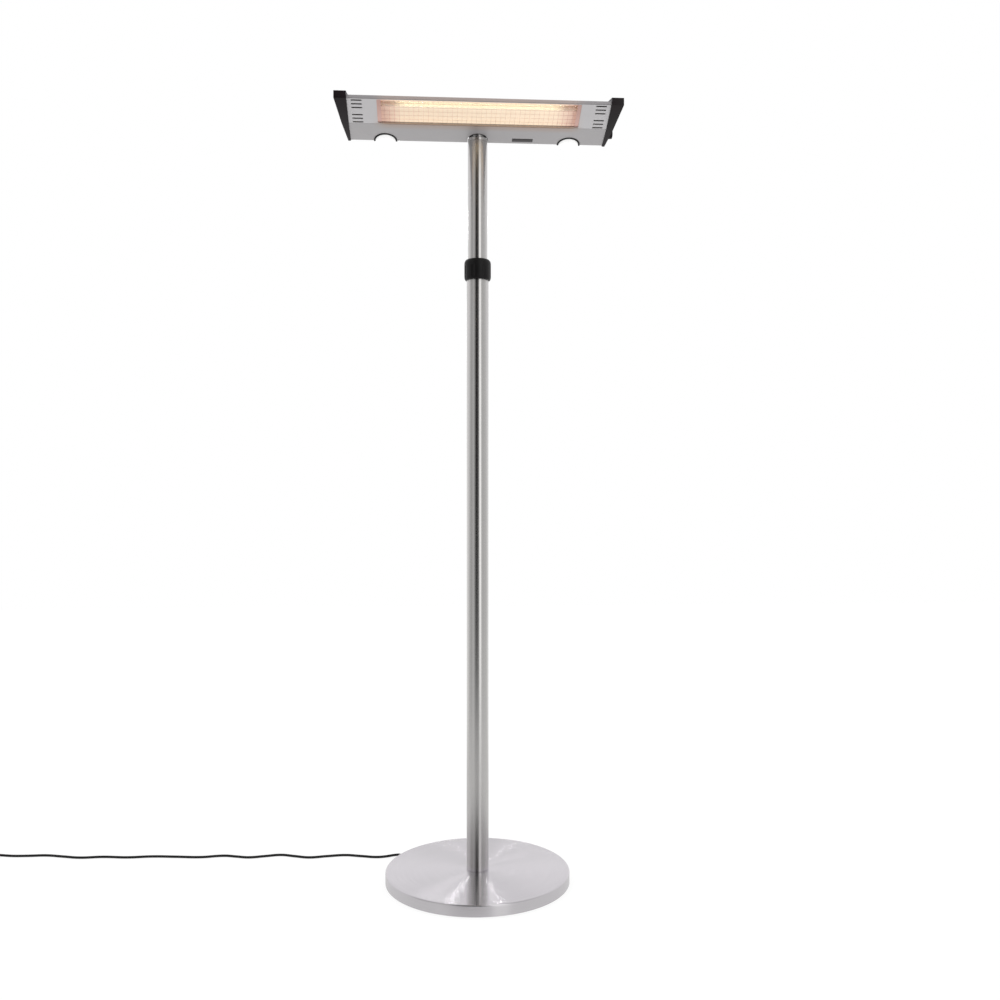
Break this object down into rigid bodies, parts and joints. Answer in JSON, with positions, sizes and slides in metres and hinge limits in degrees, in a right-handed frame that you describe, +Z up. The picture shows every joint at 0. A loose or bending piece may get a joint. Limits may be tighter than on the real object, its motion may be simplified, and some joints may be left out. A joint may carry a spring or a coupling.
{
  "type": "infrared patio heater tower",
  "caption": "Free-standing patio heater: round weighted base, telescopic steel mast with a twist collar and a tilting infrared head with lamps.",
  "frame": {"origin": "on the floor, on the axis of the mast and of the round base", "axes": "+Z up along the mast, +X along the head towards the end with the knob, +Y towards the rear; the heater faces -Y"},
  "size_m": [1.9253, 0.5428, 2.1046],
  "materials": {
    "brushed_steel": "brushed stainless steel, satin",
    "ballast_stone": "cast concrete",
    "foot_rubber": "moulded rubber",
    "zinc_hardware": "zinc plated",
    "tube_plastic": "moulded black plastic, fine texture",
    "silver_paint": "silver grey paint, satin",
    "panel_paint": "light silver paint, satin",
    "cap_plastic": "moulded black plastic, semi gloss",
    "guard_wire": "bright steel wire, warm tint",
    "reflector_metal": "polished aluminium",
    "quartz_glass": "clear quartz, lit from inside",
    "hot_filament": "glowing carbon coil",
    "ceramic_white": "unglazed white ceramic",
    "lamp_lens": "frosted lens, lit",
    "circuit_green": "green circuit board",
    "window_black": "dark glossy window",
    "cord_black": "black flexible sheath",
    "pin_brass": "nickel brass"
  },
  "bodies": {
    "base": {"base_cover": "brushed_steel", "base_ballast": "ballast_stone", "base_foot_1": "foot_rubber", "base_foot_2": "foot_rubber", "base_foot_3": "foot_rubber", "base_foot_4": "foot_rubber", "base_washer": "zinc_hardware", "base_bolt": "zinc_hardware", "foot_plug": "zinc_hardware", "lower_tube": "brushed_steel", "clamp_sleeve": "tube_plastic", "base_lead": "cord_black", "spring_lead": "cord_black", "cord_gland": "tube_plastic", "power_cord": "cord_black", "cord_coil": "cord_black", "plug_body": "tube_plastic", "plug_pin_1": "pin_brass", "plug_pin_2": "pin_brass"},
    "collar": {"twist_collar": "tube_plastic"},
    "mast": {"upper_tube": "brushed_steel", "mast_glide": "tube_plastic", "post_plug": "brushed_steel", "upper_lead": "cord_black"},
    "head": {"head_shell": "silver_paint", "front_panel": "panel_paint", "guard_mesh": "guard_wire", "reflector": "reflector_metal", "quartz_tube": "quartz_glass", "filament": "hot_filament", "tube_cap_left": "ceramic_white", "tube_cap_right": "ceramic_white", "tube_holder_left": "ceramic_white", "tube_holder_right": "ceramic_white", "heat_shield": "zinc_hardware", "lamp_housing_left": "tube_plastic", "lamp_housing_right": "tube_plastic", "lamp_lens_left": "lamp_lens", "lamp_lens_right": "lamp_lens", "led_board_left": "circuit_green", "led_board_right": "circuit_green", "receiver_window": "window_black", "control_board": "circuit_green", "lamp_driver": "tube_plastic", "terminal_block": "ceramic_white", "head_lead": "cord_black", "end_cap_left": "cap_plastic", "end_cap_right": "cap_plastic", "end_plate_left": "zinc_hardware", "end_plate_right": "zinc_hardware", "end_screw_left": "zinc_hardware", "end_screw_right": "zinc_hardware", "rotary_switch": "tube_plastic", "tilt_yoke": "zinc_hardware", "tilt_washer_left": "pin_brass", "tilt_washer_right": "pin_brass", "tilt_bolt": "zinc_hardware", "tilt_nut": "zinc_hardware"},
    "knob": {"power_knob": "cap_plastic"}
  },
  "joints": [
    {"name": "mast_slide", "type": "slide", "parent": "base", "child": "mast", "axis": [0, 0, 1], "range_m": [-0.3, 0], "deforming": ["spring_lead"]},
    {"name": "collar_twist", "type": "hinge", "parent": "base", "child": "collar", "pos_m": [0, 0, 1.66], "axis": [0, 0, 1], "range_deg": [0, 90]},
    {"name": "head_tilt", "type": "hinge", "parent": "mast", "child": "head", "pos_m": [0, 0, 2.05], "axis": [1, 0, 0], "range_deg": [-45, 8]},
    {"name": "power_knob_turn", "type": "hinge", "parent": "head", "child": "knob", "pos_m": [0.36, -0.003, 2.042], "axis": [1, 0, 0], "range_deg": [0, 180]}
  ]
}
